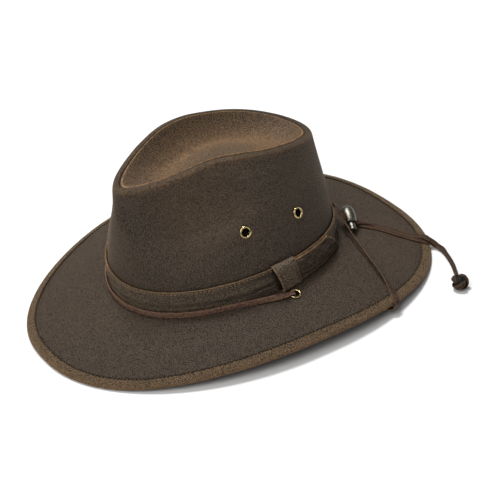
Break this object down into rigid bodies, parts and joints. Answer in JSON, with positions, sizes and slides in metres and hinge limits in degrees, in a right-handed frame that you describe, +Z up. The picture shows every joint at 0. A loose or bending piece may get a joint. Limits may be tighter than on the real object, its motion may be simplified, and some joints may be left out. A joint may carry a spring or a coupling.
{
  "type": "bush hat",
  "caption": "Oval bush hat with a pinched, dented crown, a taped upturned brim, a strapped cloth band, eyelets, and a flat leather chin lace run through a domed cord lock",
  "frame": {"origin": "middle of the hat's underside at the level it rests on, +Z up, +X the wearer's left, +Y the back of the hat, -Y the front", "axes": "+Y runs along the hat's length from front to back, +Z is up"},
  "size_m": [0.3041, 0.3637, 0.1432],
  "materials": {
    "cloth": "dark brown waxed cotton, worn lighter on its edges and ridges",
    "tape": "lighter brown woven edge tape with a stitch line",
    "brass": "dulled antique brass with bright worn rims",
    "leather": "reddish brown flat leather lace, half matt",
    "pewter": "aged pewter grey metal, satin"
  },
  "bodies": {
    "hat": {"crown_side": "cloth", "crown_top": "cloth", "brim": "cloth", "brim_binding": "tape", "hat_band": "cloth", "band_strap_end": "cloth", "band_keeper": "cloth", "vent_eyelet_left_front": "brass", "vent_eyelet_left_back": "brass", "vent_eyelet_right_front": "brass", "vent_eyelet_right_back": "brass", "brim_eyelet_left": "brass", "brim_eyelet_right": "brass", "chin_lace_front": "leather", "chin_lace_left": "leather", "chin_lace_right": "leather", "chin_lace_knot": "leather", "cord_lock_body": "pewter"},
    "lock_button": {"cord_lock_button": "pewter"}
  },
  "joints": [
    {"name": "lock_press", "type": "slide", "parent": "hat", "child": "lock_button", "axis": [-0.8663, 0.3532, 0.3532], "range_m": [0, 0.0025], "stiffness_N_per_m": 300}
  ]
}
